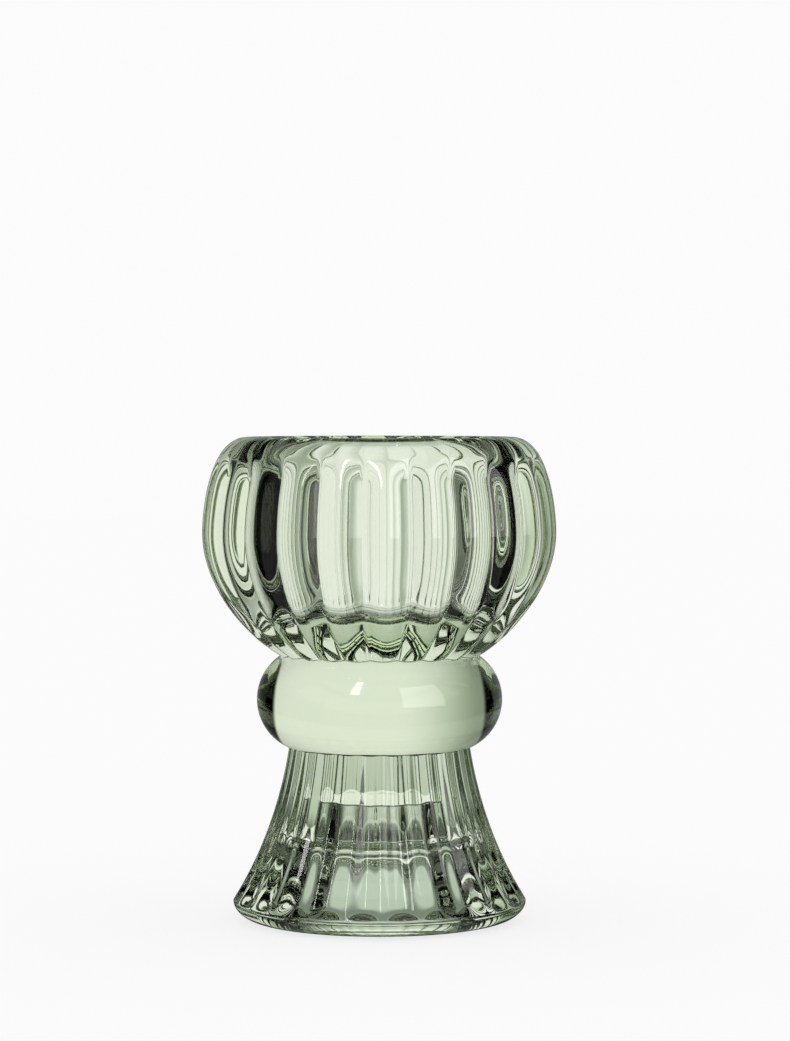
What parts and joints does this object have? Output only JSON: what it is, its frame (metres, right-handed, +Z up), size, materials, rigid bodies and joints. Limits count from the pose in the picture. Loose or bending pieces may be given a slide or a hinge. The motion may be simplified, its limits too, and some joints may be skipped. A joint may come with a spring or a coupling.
{
  "type": "glass candlestick",
  "caption": "Low pressed-glass candlestick: fluted bowl for a tealight on a smooth neck ring and a flared fluted foot, with a socket underneath for a taper candle",
  "frame": {"origin": "centre of the flat ring that the foot stands on", "axes": "+Z up along the axis of revolution, from the foot to the bowl; a flute's crest faces -Y"},
  "size_m": [0.0848, 0.0848, 0.1155],
  "materials": {
    "bowl_glass": "clear, pale grey-green, polished",
    "ring_glass": "clear, pale grey-green, polished",
    "foot_glass": "clear, pale grey-green, polished"
  },
  "bodies": {
    "root": {"bowl": "bowl_glass", "neck_ring": "ring_glass", "foot": "foot_glass"}
  },
  "joints": []
}
